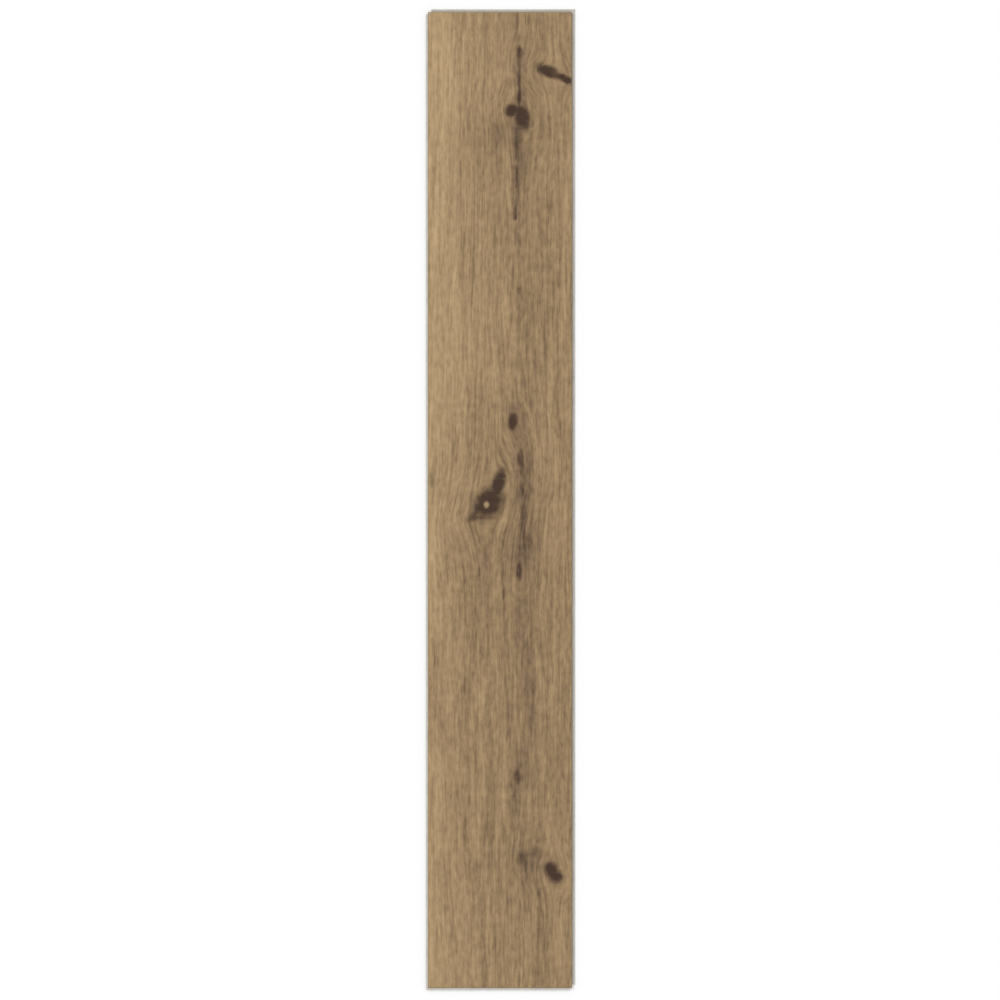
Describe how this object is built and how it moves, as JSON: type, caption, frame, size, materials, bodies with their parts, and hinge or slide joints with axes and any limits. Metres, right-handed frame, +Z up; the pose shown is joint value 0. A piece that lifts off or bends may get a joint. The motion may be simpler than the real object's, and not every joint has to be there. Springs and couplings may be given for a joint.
{
  "type": "rigid core vinyl plank",
  "caption": "Flat wood-look floor plank with a bevelled face and a click-lock tongue and groove milled on its edges, laid floating beside like planks.",
  "frame": {"origin": "on the underside, below the middle of the printed face; tongue and lip reach past the face unequally", "axes": "+Z up through the printed face, +Y along the plank towards the end with the locking lip, +X across it towards the long edge with the locking lip"},
  "size_m": [0.1862, 1.2262, 0.005],
  "materials": {
    "plank_vinyl": "matte"
  },
  "bodies": {
    "root": {"plank": "plank_vinyl"}
  },
  "joints": []
}
